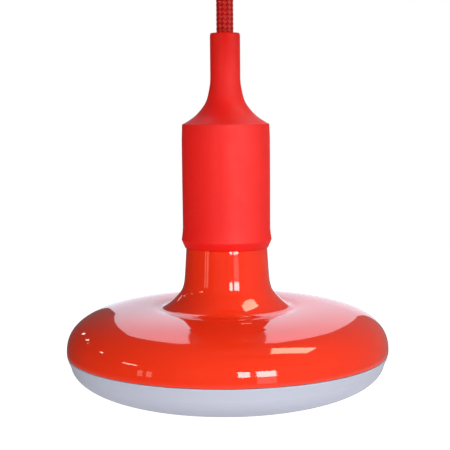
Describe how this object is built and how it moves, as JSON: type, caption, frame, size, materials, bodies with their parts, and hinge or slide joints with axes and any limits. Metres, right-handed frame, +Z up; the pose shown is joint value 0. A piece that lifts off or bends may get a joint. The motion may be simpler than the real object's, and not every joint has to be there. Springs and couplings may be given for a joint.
{
  "type": "pendant lamp with LED saucer lamp",
  "caption": "Hanging lamp fixture: ceiling cup, short taut braided cord, matte silicone lampholder sleeve and a glossy saucer-shaped LED screw-in lamp with opal diffuser.",
  "frame": {"origin": "centre of the mounting strap's upper face, where the fixture meets the ceiling", "axes": "+Z up out of the ceiling face along the cord's axis; +X along the mounting strap; -Y towards the viewer of the picture"},
  "size_m": [0.1674, 0.1674, 0.2563],
  "materials": {
    "silicone": "matte moulded silicone, fine dust",
    "gloss_red": "high gloss injection-moulded shell",
    "cup_red": "satin moulded plastic",
    "textile": "braided textile over the cores",
    "opal": "satin opal diffuser, opaque from outside when off",
    "black_plastic": "fine moulded texture",
    "ceramic": "unglazed insert",
    "white_plastic": "moulded",
    "zinc_steel": "zinc plated",
    "brass": "stamped brass",
    "nickel_shell": "nickel-plated rolled shell",
    "aluminium": "bare sheet",
    "white_board": "white solder mask on aluminium",
    "green_board": "green solder mask",
    "led_yellow": "phosphor",
    "capacitor_sleeve": "shrink sleeve",
    "ferrite": "ferrite and tape",
    "brown_pvc": "insulation",
    "blue_pvc": "insulation",
    "red_pvc": "insulation"
  },
  "bodies": {
    "ceiling": {"mounting_strap": "zinc_steel", "ceiling_cup": "cup_red", "cup_screw_left": "zinc_steel", "cup_screw_right": "zinc_steel", "cord_gland": "cup_red", "gland_nut": "cup_red", "gland_grub_screw": "zinc_steel", "terminal_block": "white_plastic", "block_screw_1": "brass", "block_screw_2": "brass", "block_fixing_screw": "zinc_steel", "cord_in_cup": "textile", "brown_core_in_cup": "brown_pvc", "blue_core_in_cup": "blue_pvc"},
    "cord": {"pendant_cord": "textile"},
    "holder": {"silicone_sleeve": "silicone", "cord_in_neck": "textile", "brown_core_in_holder": "brown_pvc", "blue_core_in_holder": "blue_pvc", "holder_dome": "black_plastic", "holder_barrel": "black_plastic", "retaining_ring": "zinc_steel", "cord_stop": "zinc_steel", "cord_stop_screw": "zinc_steel", "contact_block": "ceramic", "live_terminal": "brass", "neutral_terminal": "brass", "live_terminal_screw": "zinc_steel", "neutral_terminal_screw": "zinc_steel", "live_strip": "brass", "neutral_strip": "brass", "contact_rivet": "brass", "screw_shell": "nickel_shell"},
    "tongue": {"contact_tongue": "brass"},
    "lamp_contact": {"cap_insulator": "black_plastic", "cap_eyelet": "brass"},
    "lamp": {"cap_shell": "nickel_shell", "lamp_housing": "gloss_red", "diffuser": "opal", "heat_spreader": "aluminium", "led_board": "white_board", "led_1": "led_yellow", "led_2": "led_yellow", "led_3": "led_yellow", "led_4": "led_yellow", "led_5": "led_yellow", "led_6": "led_yellow", "led_7": "led_yellow", "led_8": "led_yellow", "board_screw_1": "zinc_steel", "board_screw_2": "zinc_steel", "board_screw_3": "zinc_steel", "driver_board": "green_board", "smoothing_capacitor": "capacitor_sleeve", "driver_transformer": "ferrite", "bridge_rectifier": "black_plastic", "live_input_lead": "brown_pvc", "neutral_input_lead": "white_plastic", "red_output_lead": "red_pvc", "black_output_lead": "black_plastic"}
  },
  "joints": [
    {"name": "cord_swing", "type": "hinge", "parent": "ceiling", "child": "cord", "pos_m": [0, 0, -0.034], "axis": [0, 1, 0], "range_deg": [-30, 30]},
    {"name": "holder_tilt", "type": "hinge", "parent": "cord", "child": "holder", "pos_m": [0, 0, -0.069], "axis": [1, 0, 0], "range_deg": [-25, 25]},
    {"name": "tongue_flex", "type": "hinge", "parent": "holder", "child": "tongue", "pos_m": [0.003, 0, -0.1404], "axis": [0, 1, 0], "range_deg": [0, 5], "stiffness_Nm_per_rad": 0.06, "springref_deg": -5.73},
    {"name": "lamp_feed", "type": "slide", "parent": "holder", "child": "lamp_contact", "axis": [0, 0, -1], "range_m": [0, 0.02197]},
    {"name": "lamp_turn", "type": "hinge", "parent": "lamp_contact", "child": "lamp", "pos_m": [0, 0, -0.158], "axis": [0, 0, -1], "range_deg": [0, 2160]}
  ],
  "couplings": [
    {"joint": "lamp_feed", "follows": "lamp_turn", "m_per_rad": 0.0005775}
  ]
}
